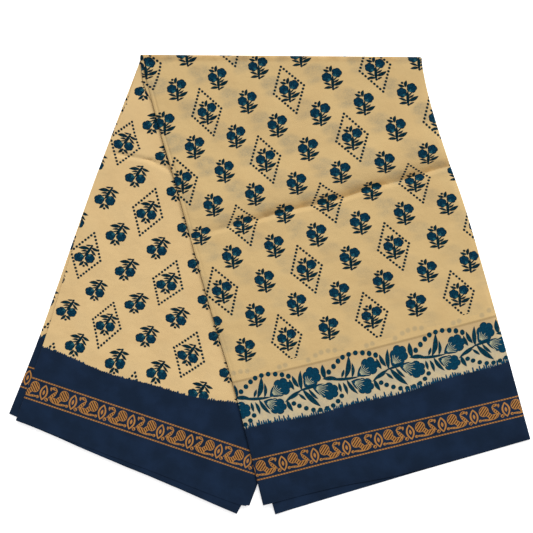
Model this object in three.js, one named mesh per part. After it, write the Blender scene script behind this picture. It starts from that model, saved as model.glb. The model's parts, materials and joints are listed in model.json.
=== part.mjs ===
// A cotton saree, folded lengthwise into a strip of sixteen plies, then folded over itself across a slanted
// crease, and lying flat. Seen from above its two leaves spread into an upturned V: the front leaf runs
// down to the right and lies over the back leaf, which runs down to the left.
//
// Millimetres, +Z up, +X to the right and +Y towards the crease. The origin is on the surface that the
// saree lies on, under the middle of the folded bundle.
import * as THREE from 'three';

// The run of the cloth through the fold. Depth is counted from the outermost ply in towards the middle of
// the fold, so the same depth is near the top of the front leaf and near the bottom of the back leaf.
const faceWall = 1.0; // the outermost ply
const plyGap = 0.3; // air between two separate stretches
const hiddenStack = 4.4; // fourteen hidden plies of one leaf
const backWall = 1.2; // the top ply of the back leaf, which runs up into the middle of the fold
const hiddenStart = faceWall + plyGap;
const leafDepth = hiddenStart + hiddenStack;
const foldRadius = leafDepth + plyGap + backWall / 2;
const foldedHeight = 2 * foldRadius;
const frontBase = foldedHeight - leafDepth; // underside of the front leaf where it lies on the back leaf

// Layered edges of the hidden plies. The outer and inner bundle of eight plies part at mid depth.
const bundleDepth = hiddenStart + hiddenStack / 2;
const bundleParting = 0.1;
const layersPerBundle = 3;
const grooveInset = 1.6; // how far the gap between two layers goes in
const roundInset = 1.2; // how far the first and last layer draw back, so that the edge is rounded
const wallInset = 0.5; // the same for the two faces of a single ply

// Soft forms of the front leaf.
const rollDepth = 1.2; // the top rolls down towards its edges
const rollWidth = 12;
const rollFadeIn = 0.08; // share of the leaf, from the crease, over which that roll appears
const valleyDepth = 2.2; // the soft crosswise valley, deepest in the middle
const valleyEdgeShare = 0.7; // how much of that depth it has at the leaf's two edges
const slopeAbove = 0.14; // width of its long slope, as a share of the cloth above it
const slopeBelow = 0.024; // width of its short slope, as a share of the cloth below it
const valleyAt = { left: 0.395, right: 0.235 }; // where it crosses the edges, from crease to selvedge
const dropStart = 22; // distance past the back leaf where the front leaf starts to sink to the table
const dropEnd = 62;

// Edges of the leaves, in plan. Each runs from the crease to a selvedge, or along a selvedge from left to
// right, with a row for each place where its direction changes.
const creaseLeft = { x: -175, y: 304.4 };
const creaseRight = { x: 205.5, y: 301.2 };
const frontOuter = {
  left: [
    creaseLeft,
    { x: -170, y: 289 },
    { x: -147, y: 203.5 },
    { x: -130, y: 145.5 },
    { x: -76, y: -47 },
    { x: -50, y: -133 },
    { x: -9, y: -298 },
  ],
  right: [
    creaseRight,
    { x: 207, y: 290 },
    { x: 216, y: 249.5 },
    { x: 242, y: 168.5 },
    { x: 263.5, y: 107.5 },
    { x: 316, y: -74.5 },
    { x: 353, y: -209 },
  ],
  bottom: [
    { x: -9, y: -298 },
    { x: 92, y: -273.5 },
    { x: 178.5, y: -256.5 },
    { x: 353, y: -209 },
  ],
};
const frontInner = {
  left: [
    creaseLeft,
    { x: -170, y: 270 },
    { x: -151, y: 229 },
    { x: 7.5, y: -310.5 },
  ],
  right: [
    creaseRight,
    { x: 213, y: 249.5 },
    { x: 260.5, y: 107.5 },
    { x: 350.5, y: -210 },
  ],
  bottom: [
    { x: 7.5, y: -310.5 },
    { x: 178.5, y: -259.5 },
    { x: 350.5, y: -210 },
  ],
};
const backOuter = {
  left: [
    creaseLeft,
    { x: -238.5, y: 137.5 },
    { x: -313, y: -73 },
    { x: -353, y: -174.5 },
  ],
  right: [creaseRight, { x: -40, y: -306 }],
  bottom: [
    { x: -353, y: -174.5 },
    { x: -343, y: -179 },
    { x: -40, y: -306 },
  ],
};
const backInner = {
  left: [
    creaseLeft,
    { x: -183, y: 270 },
    { x: -200, y: 229 },
    { x: -236.5, y: 139.5 },
    { x: -304, y: -76 },
    { x: -342.5, y: -183.5 },
  ],
  right: [creaseRight, { x: -28.5, y: -285 }, { x: -42, y: -311 }],
  bottom: [
    { x: -342.5, y: -183.5 },
    { x: -42, y: -311 },
  ],
};
const backTop = {
  left: [
    creaseLeft,
    { x: -179.5, y: 290 },
    { x: -192.5, y: 249.5 },
    { x: -237.5, y: 139.5 },
    { x: -305, y: -76 },
    { x: -343.5, y: -183.5 },
  ],
  right: [creaseRight, { x: -17.5, y: -272.5 }, { x: -27.5, y: -299 }],
  bottom: [
    { x: -343.5, y: -183.5 },
    { x: -170, y: -248 },
    { x: -36.5, y: -298.5 },
    { x: -27.5, y: -299 },
  ],
};

// Stations of the mesh. Across, they crowd at the two folded edges. Along, they crowd at the valley.
const edgeStations = [0, 0.018, 0.048];
const middleStations = 14;
const rowsAboveValley = [0, 0.22, 0.43, 0.62, 0.76, 0.86, 0.93, 1];
const rowsBelowValley = [0.024, 0.055, 0.13, 0.24, 0.37, 0.5, 0.63, 0.76, 0.88, 0.97, 1];
const turnSteps = 8;
const backSteps = 9;

// Nominal sizes that turn an inset in millimetres into a share of the leaf.
const stripWidth = 370;
const leafLength = 590;

function planCurve(rows) {
  const points = rows.map(({ x, y }) => new THREE.Vector3(x, y, 0));
  return new THREE.CatmullRomCurve3(points, false, 'centripetal');
}

// A leaf between its four edges: across runs from its left to its right edge, down from crease to selvedge.
function coonsPatch({ left, right, bottom }) {
  const [leftCurve, rightCurve, bottomCurve] = [left, right, bottom].map(planCurve);
  const leftStart = leftCurve.getPointAt(0);
  const rightStart = rightCurve.getPointAt(0);
  const leftEnd = bottomCurve.getPointAt(0);
  const rightEnd = bottomCurve.getPointAt(1);
  return (across, down) => {
    const sides = leftCurve.getPointAt(down).lerp(rightCurve.getPointAt(down), across);
    const crease = leftStart.clone().lerp(rightStart, across);
    const ends = crease.clone().lerp(bottomCurve.getPointAt(across), down);
    const corners = crease.lerp(leftEnd.clone().lerp(rightEnd, across), down);
    return sides.add(ends).sub(corners);
  };
}

const leafPlans = {
  frontOuter: coonsPatch(frontOuter),
  frontInner: coonsPatch(frontInner),
  backOuter: coonsPatch(backOuter),
  backInner: coonsPatch(backInner),
  backTop: coonsPatch(backTop),
};

const { lerp, clamp, smoothstep } = THREE.MathUtils;

// How far the front leaf has sunk from the back leaf towards the table, from 0 to 1.
const backEdgeStart = new THREE.Vector2(creaseRight.x, creaseRight.y);
const backEdgeEnd = new THREE.Vector2(backTop.right.at(-1).x, backTop.right.at(-1).y);
const backEdgeAlong = backEdgeEnd.clone().sub(backEdgeStart).normalize();
function frontDrop(x, y) {
  const reach = new THREE.Vector2(x, y).sub(backEdgeStart);
  return smoothstep(backEdgeAlong.cross(reach), dropStart, dropEnd);
}

function valleyShare(across) {
  return lerp(valleyAt.left, valleyAt.right, clamp(across, 0, 1));
}

// Depth of the valley and of the rolled edges at a point of the front leaf.
function frontSink(across, down) {
  const valley = valleyShare(across);
  const slope = down < valley
    ? smoothstep(down / valley, 1 - slopeAbove, 1)
    : smoothstep((1 - down) / (1 - valley), 1 - slopeBelow, 1);
  const depthHere = valleyDepth * lerp(valleyEdgeShare, 1, 4 * across * (1 - across));
  const fromSide = Math.min(across, 1 - across) * stripWidth;
  const fromEnd = (1 - down) * leafLength;
  const roll = clamp(1 - Math.min(fromSide, fromEnd) / rollWidth, 0, 1);
  return depthHere * slope + rollDepth * roll * roll * smoothstep(down, 0, rollFadeIn);
}

// Stations along the run of the cloth: up the front leaf, over the crease and down the back leaf. A
// station that is a selvedge pulls its edge layers in.
function frontRows() {
  const above = rowsAboveValley.map((share) => ({
    leaf: 'front',
    down: (across) => share * valleyShare(across),
  }));
  const below = rowsBelowValley.map((share) => ({
    leaf: 'front',
    down: (across) => lerp(valleyShare(across), 1, share),
    selvedge: share === 1,
  }));
  return [...above, ...below].reverse();
}

function turnRows() {
  return Array.from({ length: turnSteps }, (_, step) => ({
    leaf: 'turn',
    angle: (Math.PI * (step + 1)) / turnSteps,
  }));
}

function backRows(firstStep) {
  return Array.from({ length: backSteps + 1 - firstStep }, (_, step) => ({
    leaf: 'back',
    down: () => (firstStep + step) / backSteps,
    selvedge: firstStep + step === backSteps,
  }));
}

function acrossStations() {
  const inner = edgeStations.at(-1);
  const middle = Array.from({ length: middleStations - 1 }, (_, step) =>
    lerp(inner, 1 - inner, (step + 1) / middleStations));
  return [...edgeStations, ...middle, ...edgeStations.map((share) => 1 - share).reverse()];
}

// Place of one point of the cloth: across the strip, along its run, and at one level of depth.
function placeOnRun(across, row, level, atEdge) {
  const pull = atEdge ? level.inset : 0;
  const share = clamp(across, pull / stripWidth, 1 - pull / stripWidth);
  if (row.leaf === 'turn') {
    const radius = foldRadius - level.depth;
    const x = lerp(creaseLeft.x, creaseRight.x, share);
    const y = lerp(creaseLeft.y, creaseRight.y, share) + radius * Math.sin(row.angle);
    return new THREE.Vector3(x, y, foldRadius + radius * Math.cos(row.angle));
  }
  const down = row.down(share) - (row.selvedge ? pull / leafLength : 0);
  const point = leafPlans[row.leaf + level.bundle](share, down);
  if (row.leaf === 'back') {
    point.z = level.height ?? level.depth;
    return point;
  }
  const softness = clamp((leafDepth - level.depth) / hiddenStack, 0, 1);
  const whole = leafPlans[row.leaf + level.bundle](across, row.down(across));
  const lowered = frontBase * frontDrop(whole.x, whole.y) + frontSink(across, row.down(across)) * softness;
  point.z = foldedHeight - level.depth - lowered;
  return point;
}

// One closed solid of stacked levels: the first and last level are its two faces, and all levels show
// round its rim.
function layeredSolid(across, rows, levels) {
  const last = { i: across.length - 1, j: rows.length - 1, k: levels.length - 1 };
  const positions = [];
  const indexOf = new Map();
  function vertex(i, j, k) {
    const key = `${i} ${j} ${k}`;
    if (!indexOf.has(key)) {
      indexOf.set(key, positions.length / 3);
      const atEdge = i === 0 || i === last.i || j === 0 || j === last.j;
      positions.push(...placeOnRun(across[i], rows[j], levels[k], atEdge).toArray());
    }
    return indexOf.get(key);
  }
  const triangles = [];
  function quad(a, b, c, d) {
    const [p, q, r, s] = [a, b, c, d].map((corner) => vertex(...corner));
    triangles.push(p, q, r, p, r, s);
  }
  for (let i = 0; i < last.i; i += 1) {
    for (let j = 0; j < last.j; j += 1) {
      quad([i, j, 0], [i + 1, j, 0], [i + 1, j + 1, 0], [i, j + 1, 0]);
      quad([i, j, last.k], [i, j + 1, last.k], [i + 1, j + 1, last.k], [i + 1, j, last.k]);
    }
  }
  for (let k = 0; k < last.k; k += 1) {
    for (let j = 0; j < last.j; j += 1) {
      quad([0, j, k], [0, j + 1, k], [0, j + 1, k + 1], [0, j, k + 1]);
      quad([last.i, j, k], [last.i, j, k + 1], [last.i, j + 1, k + 1], [last.i, j + 1, k]);
    }
    for (let i = 0; i < last.i; i += 1) {
      quad([i, 0, k], [i, 0, k + 1], [i + 1, 0, k + 1], [i + 1, 0, k]);
      quad([i, last.j, k], [i + 1, last.j, k], [i + 1, last.j, k + 1], [i, last.j, k + 1]);
    }
  }
  const geometry = new THREE.BufferGeometry();
  geometry.setAttribute('position', new THREE.Float32BufferAttribute(positions, 3));
  geometry.setIndex(triangles);
  geometry.computeVertexNormals();
  return geometry;
}

// The two faces and rounded edge of a single ply.
function wallLevels(start, thickness, bundle) {
  return [
    { depth: start, inset: wallInset, bundle },
    { depth: start + thickness / 2, inset: 0, bundle },
    { depth: start + thickness, inset: wallInset, bundle },
  ];
}

// The edge of one bundle of hidden plies: a ridge for each layer, between grooves.
function bundleLevels(start, end, bundle) {
  const steps = 2 * layersPerBundle;
  return Array.from({ length: steps + 1 }, (_, step) => {
    const depth = lerp(start, end, step / steps);
    const fromMiddle = (depth - bundleDepth) / (hiddenStack / 2);
    const groove = step % 2 === 0 ? grooveInset : 0;
    return { depth, inset: roundInset * fromMiddle ** 2 + groove, bundle };
  });
}

function cloth(name, color, geometry) {
  const material = new THREE.MeshStandardMaterial({ color, roughness: 0.85, metalness: 0 });
  const mesh = new THREE.Mesh(geometry, material);
  mesh.name = name;
  return mesh;
}

function frontFace() {
  const rows = [...frontRows(), ...turnRows()];
  const levels = wallLevels(0, faceWall, 'Outer');
  return cloth('front_face', 0xd2b580, layeredSolid(acrossStations(), rows, levels));
}

// The outermost ply again, where it carries on from the crease under the back leaf.
function underFace() {
  const rows = backRows(0);
  rows[0].down = () => plyGap / leafLength;
  const levels = wallLevels(0, faceWall, 'Outer');
  return cloth('under_face', 0xc4a878, layeredSolid(acrossStations(), rows, levels));
}

// Its levels have a height in place of a depth, because it turns the other way up.
function backFace() {
  const low = leafDepth + plyGap;
  const levels = wallLevels(low, backWall, 'Top').map((level) => ({ ...level, height: level.depth }));
  return cloth('back_face', 0xcaae7c, layeredSolid(acrossStations(), backRows(0), levels));
}

function hiddenPlies() {
  const levels = [
    ...bundleLevels(hiddenStart, bundleDepth - bundleParting / 2, 'Outer'),
    ...bundleLevels(bundleDepth + bundleParting / 2, leafDepth, 'Inner'),
  ];
  const rows = [...frontRows(), ...turnRows(), ...backRows(1)];
  return cloth('hidden_plies', 0x2b3850, layeredSolid(acrossStations(), rows, levels));
}

const saree = new THREE.Group();
saree.add(frontFace(), underFace(), backFace(), hiddenPlies());

export default saree;
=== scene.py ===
import json
import math

import bpy
import numpy as np
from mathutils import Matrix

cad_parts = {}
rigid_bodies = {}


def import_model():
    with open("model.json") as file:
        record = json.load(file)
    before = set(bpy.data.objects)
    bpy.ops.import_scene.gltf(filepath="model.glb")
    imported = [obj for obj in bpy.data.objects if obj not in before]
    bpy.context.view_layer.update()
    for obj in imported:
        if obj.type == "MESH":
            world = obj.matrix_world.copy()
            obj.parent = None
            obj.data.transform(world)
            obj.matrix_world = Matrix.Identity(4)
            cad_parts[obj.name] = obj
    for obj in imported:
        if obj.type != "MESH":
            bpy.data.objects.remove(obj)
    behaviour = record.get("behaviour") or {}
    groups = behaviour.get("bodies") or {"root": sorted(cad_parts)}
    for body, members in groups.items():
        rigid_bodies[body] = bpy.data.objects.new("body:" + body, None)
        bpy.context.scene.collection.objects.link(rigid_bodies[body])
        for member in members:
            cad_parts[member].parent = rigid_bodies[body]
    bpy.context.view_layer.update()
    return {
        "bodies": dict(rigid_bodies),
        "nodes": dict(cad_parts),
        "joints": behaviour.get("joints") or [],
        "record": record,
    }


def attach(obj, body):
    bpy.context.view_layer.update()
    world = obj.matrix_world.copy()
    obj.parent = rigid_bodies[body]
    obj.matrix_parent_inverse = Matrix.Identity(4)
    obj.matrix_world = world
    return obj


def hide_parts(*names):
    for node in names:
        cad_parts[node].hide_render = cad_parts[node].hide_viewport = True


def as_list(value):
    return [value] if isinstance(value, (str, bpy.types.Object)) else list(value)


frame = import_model()

MM = 0.001

# The run of the cloth through the fold, in millimetres. Depth is counted from the outermost ply inwards.
FOLD_RADIUS = 6.6
FOLDED_HEIGHT = 2 * FOLD_RADIUS
LEAF_DEPTH = 5.7
BUNDLE_DEPTH = 2.85
INNER_TOP = BUNDLE_DEPTH + 0.15
BACK_HEIGHT = 7.2
FRONT_BASE = FOLDED_HEIGHT - LEAF_DEPTH
PLIES_PER_BUNDLE = 8

# Edges of the leaves in plan, from the crease to a selvedge, or along a selvedge from left to right.
CREASE_LEFT = (-175, 304.4)
CREASE_RIGHT = (205.5, 301.2)
FRONT_OUTER = {
    "left": [CREASE_LEFT, (-170, 289), (-147, 203.5), (-130, 145.5), (-76, -47), (-50, -133), (-9, -298)],
    "right": [
        CREASE_RIGHT, (207, 290), (216, 249.5), (242, 168.5), (263.5, 107.5), (316, -74.5), (353, -209),
    ],
    "bottom": [(-9, -298), (92, -273.5), (178.5, -256.5), (353, -209)],
}
FRONT_INNER = {
    "left": [CREASE_LEFT, (-170, 270), (-151, 229), (7.5, -310.5)],
    "right": [CREASE_RIGHT, (213, 249.5), (260.5, 107.5), (350.5, -210)],
    "bottom": [(7.5, -310.5), (178.5, -259.5), (350.5, -210)],
}
BACK_OUTER = {
    "left": [CREASE_LEFT, (-238.5, 137.5), (-313, -73), (-353, -174.5)],
    "right": [CREASE_RIGHT, (-40, -306)],
    "bottom": [(-353, -174.5), (-343, -179), (-40, -306)],
}
BACK_INNER = {
    "left": [CREASE_LEFT, (-183, 270), (-200, 229), (-236.5, 139.5), (-304, -76), (-342.5, -183.5)],
    "right": [CREASE_RIGHT, (-28.5, -285), (-42, -311)],
    "bottom": [(-342.5, -183.5), (-42, -311)],
}
BACK_TOP = {
    "left": [CREASE_LEFT, (-179.5, 290), (-192.5, 249.5), (-237.5, 139.5), (-305, -76), (-343.5, -183.5)],
    "right": [CREASE_RIGHT, (-17.5, -272.5), (-27.5, -299)],
    "bottom": [(-343.5, -183.5), (-170, -248), (-36.5, -298.5), (-27.5, -299)],
}
STRIP_WIDTH = 370
LEAF_LENGTH = 590

# Where the front leaf sinks from the back leaf to the table, as a distance past the back leaf's edge.
BACK_EDGE = (CREASE_RIGHT, (-27.5, -299))
DROP_START = 22
DROP_END = 62

# The top rolls down towards its edges.
ROLL_DEPTH = 1.7
ROLL_WIDTH = 12
ROLL_FADE_IN = 0.08

# The plies below give only so far, so the cloth never sinks through them.
SINK_FREE = 3.6
SINK_GIVE = 1.1

# The front leaf's left edge is pressed, so a shallow groove runs just inside it.
EDGE_GROOVE = {"inset": 4.4, "deep": 0.8, "wide": 1.3}

# The soft crosswise valley of the front leaf.
VALLEY_LINE = ((-82, 69.5), (232, 155.5))
VALLEY_SWAY = ((1.6, 38, 0), (0.9, 17, 1))
VALLEY_DEPTH = 4.7
VALLEY_BULGE = 3.2
VALLEY_SLOPE_ABOVE = 13
VALLEY_SLOPE_BELOW = 5
VALLEY_BULGE_FADE = (30, 80)
VALLEY_TAKE_UP = 9.9
VALLEY_TAKE_UP_FADE = (-12, 26)

# Both leaves lie a little below their full height, and each has its own stretch of the waves.
FRONT_SETTLED = 0.5
BACK_SETTLED = 0.3
BACK_WAVES_ASIDE = 300

CLOTH_THICKNESS = 0.35
HIDDEN_PLY_THICKNESS = 0.24
OFF_TABLE = 0.1


def named_rows(names, *rows):
    """A table whose rows are read by the names of its columns."""
    return [dict(zip(names.split(), row)) for row in rows]


def smooth(value, start, end):
    share = np.clip((value - start) / (end - start), 0, 1)
    return share * share * (3 - 2 * share)


def plan_curve(rows):
    """A centripetal curve through the rows, as a function of the share of its length."""
    points = np.array(rows, float)
    points = np.vstack([2 * points[0] - points[1], points, 2 * points[-1] - points[-2]])
    share = np.linspace(0, 1, 40, endpoint=False)[:, None]
    dense = []
    for before, start, end, after in zip(points[:-3], points[1:-2], points[2:-1], points[3:]):
        gaps = [math.sqrt(np.linalg.norm(b - a)) for a, b in ((before, start), (start, end), (end, after))]
        leave = (start - before) / gaps[0] - (end - before) / (gaps[0] + gaps[1]) + (end - start) / gaps[1]
        arrive = (end - start) / gaps[1] - (after - start) / (gaps[1] + gaps[2]) + (after - end) / gaps[2]
        dense.append(
            (2 * share**3 - 3 * share**2 + 1) * start
            + (share**3 - 2 * share**2 + share) * leave * gaps[1]
            + (3 * share**2 - 2 * share**3) * end
            + (share**3 - share**2) * arrive * gaps[1]
        )
    dense = np.vstack([*dense, points[-2:-1]])
    run = np.concatenate([[0], np.cumsum(np.linalg.norm(np.diff(dense, axis=0), axis=1))])
    return lambda at: np.stack([np.interp(np.asarray(at) * run[-1], run, dense[:, k]) for k in (0, 1)], -1)


class LeafPlan:
    """A leaf between its four edges: across runs from its left to its right edge, down from the crease."""

    def __init__(self, edges):
        self.left = plan_curve(edges["left"])
        self.right = plan_curve(edges["right"])
        self.bottom = plan_curve(edges["bottom"])

    def at(self, across, down):
        a = np.asarray(across, float)[..., None]
        d = np.asarray(down, float)[..., None]
        sides = self.left(down) * (1 - a) + self.right(down) * a
        crease = self.left(0) * (1 - a) + self.right(0) * a
        ends = crease * (1 - d) + self.bottom(across) * d
        corners = crease * (1 - d) + (self.bottom(0) * (1 - a) + self.bottom(1) * a) * d
        return sides + ends - corners

    def inward(self, right_side, down):
        """Level direction from an edge into the leaf, which starts out along the crease."""
        edge = self.right if right_side else self.left
        ahead = edge(np.clip(down + 0.01, 0, 1)) - edge(np.clip(down - 0.01, 0, 1))
        ahead /= np.linalg.norm(ahead, axis=-1, keepdims=True)
        turned = np.stack([-ahead[..., 1], ahead[..., 0]], -1)
        free = smooth(down, 0, 0.12)[..., None]
        turned = turned * free + np.array([1.0, 0.0]) * (1 - free)
        return -turned if right_side else turned


def past_line(line, point):
    """Distance of a point to the left of a line, seen from the line's first end to its second."""
    start, end = (np.array(p, float) for p in line)
    along = (end - start) / np.linalg.norm(end - start)
    reach = point - start
    return along[0] * reach[..., 1] - along[1] * reach[..., 0], reach @ along


# Slow unevenness of cloth that has been folded, pressed and opened: a few long waves.
WAVES = named_rows(
    "x y start height",
    (0.021, 0.043, 0.4, 0.24),
    (-0.047, 0.026, 2.1, 0.18),
    (0.071, 0.058, 4.4, 0.13),
    (-0.033, 0.095, 1.2, 0.11),
    (0.124, -0.051, 5.3, 0.05),
)


def unevenness(point):
    total = 0
    for wave in WAVES:
        run = wave["x"] * point[..., 0] + wave["y"] * point[..., 1]
        total = total + wave["height"] * np.sin(run + wave["start"])
    return total


def crease_depth(creases, point):
    """Depth of the troughs of a leaf."""
    total = 0
    for row in creases:
        off, run = past_line((row["start"], row["end"]), point)
        wide = row["wide"]
        length = math.dist(row["start"], row["end"])
        ends = smooth(run, -wide, wide) * (1 - smooth(run, length - wide, length + wide))
        total = total + row["deep"] * np.exp(-((off / wide) ** 2)) * ends
    return total


FRONT_CREASES = named_rows(
    "start end deep wide",
    ((-150, 262), (160, 268), 0.25, 9),
    ((-60, 150), (60, 196), 0.3, 12),
    ((40, 40), (210, 84), 0.28, 14),
    ((-20, -60), (120, -30), 0.25, 12),
    ((150, -90), (240, -60), 0.22, 10),
)
BACK_CREASES = named_rows(
    "start end deep wide",
    ((-212, 178), (-160, 168), 2.3, 2.4),
    ((-162, 168.5), (-128, 152), 2.7, 2.6),
    ((-230, 60), (-120, 20), 0.25, 12),
    ((-260, -60), (-110, -110), 0.25, 14),
)


def valley(point):
    """Depth of the crosswise valley, and how much cloth it has taken up on the way down the leaf."""
    off, run = past_line(VALLEY_LINE, point)
    length = math.dist(*VALLEY_LINE)
    for height, stretch, start in VALLEY_SWAY:
        off = off - height * np.sin(run / stretch + start)
    above = np.exp(-np.maximum(off, 0) / VALLEY_SLOPE_ABOVE)
    below = 1 - smooth(-off, 0, VALLEY_SLOPE_BELOW)
    share = run / length
    # It is shallow at its start, and eases off a little at its end.
    strength = 0.4 + 0.6 * smooth(share, -0.02, 0.3) - 0.1 * smooth(share, 0.75, 1.1)
    depth = VALLEY_DEPTH * np.where(off > 0, above, below)
    bulge = VALLEY_BULGE * (1 - above) * (1 - smooth(off, *VALLEY_BULGE_FADE)) * (off > 0)
    return (depth - bulge) * strength, VALLEY_TAKE_UP * (1 - smooth(off, *VALLEY_TAKE_UP_FADE))


def front_drop(point):
    off, _ = past_line(BACK_EDGE, point)
    return smooth(off, DROP_START, DROP_END)


def front_height(across, down, point, depth):
    """Height of a layer of the front leaf."""
    from_side = np.minimum(across, 1 - across) * STRIP_WIDTH
    from_end = (1 - down) * LEAF_LENGTH
    roll = np.clip(1 - np.minimum(from_side, from_end) / ROLL_WIDTH, 0, 1)
    sink = ROLL_DEPTH * roll * roll * smooth(down, 0, ROLL_FADE_IN)
    fade = smooth(down, 0, 0.05)
    off_groove = (across * STRIP_WIDTH - EDGE_GROOVE["inset"]) / EDGE_GROOVE["wide"]
    groove = EDGE_GROOVE["deep"] * np.exp(-(off_groove**2))
    groove = groove * smooth(down, 0.02, 0.1) * (1 - 0.7 * smooth(down, 0.2, 0.5))
    sink = sink + groove + valley(point)[0]
    sink = sink + fade * (crease_depth(FRONT_CREASES, point) + FRONT_SETTLED + unevenness(point))
    over = np.maximum(sink - SINK_FREE, 0)
    sink = sink - over + SINK_GIVE * (1 - np.exp(-over / SINK_GIVE))
    softness = np.clip((LEAF_DEPTH - depth) / LEAF_DEPTH, 0, 1)
    return FOLDED_HEIGHT - depth - FRONT_BASE * front_drop(point) - sink * softness


def back_height(across, down, point, level):
    """Height of a layer of the back leaf, which lies flat on the table."""
    fade = smooth(down, 0, 0.05)
    waves = 0.8 * unevenness(point + BACK_WAVES_ASIDE)
    sink = fade * (crease_depth(BACK_CREASES, point) + BACK_SETTLED + waves)
    return level - sink * np.clip(level / BACK_HEIGHT, 0, 1) ** 2


# Cross section of one piece of cloth, as columns from one end of it to the other. Each is the share of the
# way across the leaf, the depth, and how far in from its folded edge it lies, first rolled, then unrolled.
def over_columns(first, last, count, depth=0.0):
    """Inside the leaf."""
    return [(across, depth, 0.0, 0.0) for across in np.linspace(first, last, count)]


def nose_columns(right, outer, inner, steps, undercut=1.0):
    """Round a folded edge, from the outer depth to the inner one. A low undercut is a nose pressed flat."""
    radius = (inner - outer) / 2
    columns = []
    for turn in np.linspace(0, math.pi, steps):
        inset = radius * (1 - math.sin(turn)) * (undercut if turn > math.pi / 2 else 1)
        columns.append((float(right), outer + radius * (1 - math.cos(turn)), inset, radius * (1 - turn)))
    return columns


def tuck_columns(right, outer, inner, reach, count):
    """Back into the leaf on the inner side of a folded edge."""
    radius = (inner - outer) / 2
    steps = np.linspace(0, reach, count + 1)[1:]
    return [(float(right), inner, radius + x, radius * (1 - math.pi) - x) for x in steps]


def ledge_columns(depth, radius, reach, count):
    """Into the leaf along the left edge on the side that shows, under the bundle that lies on it."""
    return [(0.0, depth, radius + x, radius + x) for x in np.linspace(0, reach, count + 1)[1:]]


def counted_up(columns, top):
    """The same columns with their height over the table in place of their depth."""
    return [(across, top - depth, inset, unrolled) for across, depth, inset, unrolled in columns]


def leaf_points(edges, columns, downs, height):
    """Places and unrolled places of a section carried down a leaf."""
    plan = LeafPlan(edges)
    across, depth, inset, unrolled = np.array(columns).T
    down = downs[:, None] * np.ones(len(columns))
    across = across * np.ones((len(downs), 1))
    flat = plan.at(across, down)
    left_in, right_in = (plan.inward(right_side, downs)[:, None, :] for right_side in (False, True))
    inward = np.where((across > 0.5)[..., None], right_in, left_in)
    place = flat + inset[:, None] * inward
    z = height(across, down, place, depth)
    return np.concatenate([place, z[..., None]], -1), flat + unrolled[:, None] * inward


def turn_points(columns, turns):
    """The same section carried over the crease, from the front leaf down to under the back leaf."""
    across, depth, inset, unrolled = np.array(columns).T
    side = np.where(across > 0.5, -1.0, 1.0)
    crease = np.array(CREASE_LEFT) * (1 - across[:, None]) + np.array(CREASE_RIGHT) * across[:, None]
    turn = turns[:, None]
    radius = FOLD_RADIUS - depth
    x = crease[:, 0] + side * inset + 0 * turn
    y = crease[:, 1] + radius * np.sin(turn)
    z = FOLD_RADIUS + radius * np.cos(turn)
    print_x = crease[:, 0] + side * unrolled + 0 * turn
    print_y = crease[:, 1] + FOLD_RADIUS * turn
    return np.stack([x, y, z], -1), np.stack([print_x, print_y], -1)


# Where the cloth is pulled off the straight, and how far its print lies aside there.
FRONT_PULLS = named_rows(
    "x y right up reach",
    (-121, 256, -6.8, 0.0, 81),
    (41, 141, 4.0, 0.0, 94),
    (230, -7, -4.0, 0.0, 94),
    (-33, -81, -4.0, 0.0, 74),
    (210, 178, 0.0, 4.6, 55),
    (84, 280, 0.0, -3.1, 60),
    (122, 85, 0.0, -2.4, 60),
    (197, -26, 0.0, -2.4, 60),
    (-155, 290, -4.2, 4.0, 27),
)
BACK_PULLS = named_rows(
    "x y right up reach",
    (-216, 74, -2.7, 0.0, 80),
    (-189, -48, 0.0, -4.7, 67),
    (-168, -80, 0.0, -4.6, 48),
    (-272, -38, -6.0, -5.0, 55),
    (-280, -92, 0.0, -6.5, 42),
    (-150, -125, 0.0, -8.0, 38),
    (-178, 262, 0.0, 11.0, 34),
    (-164, 212, 3.5, 6.5, 30),
    (-197, 190, 0.0, 4.0, 32),
    (-174, 296, -9.5, 7.0, 22),
    (-215, -15, 2.6, 1.8, 45),
    (-127, -44, 2.0, -1.6, 35),
)

# Lines of the borders in plan, each with its distance from the selvedge.
FRONT_BORDER = named_rows(
    "from_selvedge line sag",
    (34.8, ((-15.9, -264.5), (345.5, -177.1)), 0),
    (66.3, ((-24.9, -234.6), (337.7, -148.4)), 0),
    (108.0, ((-35.4, -194.1), (323.3, -101.9)), 6.0),
    (155.0, ((-46.1, -149.1), (311.6, -61.4)), 3.4),
    (171.0, ((-49.7, -132.8), (307.6, -43.0)), 2.0),
)
BACK_BORDER = named_rows(
    "from_selvedge line sag",
    (38.0, ((-330.3, -150.3), (-19.2, -254.1)), 0),
    (65.0, ((-319.5, -125.3), (-29.9, -222.9)), 0),
    (109.0, ((-306.5, -81.8), (-45.0, -158.3)), 9.4),
)

# The print. Its rows and columns lean, because the cloth is pulled a little askew as it lies.
FRONT_PRINT = {
    "origin": (-89.6, 232.7),
    "row": (0.9695, 0.2450),
    "column": (-0.3396, 0.9406),
    "pulls": FRONT_PULLS,
    "border": FRONT_BORDER,
}
BACK_PRINT = {
    "origin": (-166.5, 97.9),
    "row": (-0.9470, 0.3213),
    "column": (-0.3318, -0.9433),
    "pulls": BACK_PULLS,
    "border": BACK_BORDER,
}

# The ply of the back leaf's ledge lies aside of the top one, and so do its border and its print.
UNDER_BORDER_SHIFT = (-22.3, 20.0)
UNDER_PRINT_SHIFT = (13.5, 46.0)


def pulled(pulls, point):
    """The point of the straight print that lies at a point of the cloth."""
    moved = point
    for row in pulls:
        reach = np.linalg.norm(point - np.array([row["x"], row["y"]]), axis=-1, keepdims=True)
        moved = moved + np.exp(-((reach / row["reach"]) ** 2)) * np.array([row["right"], row["up"]])
    return moved


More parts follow.
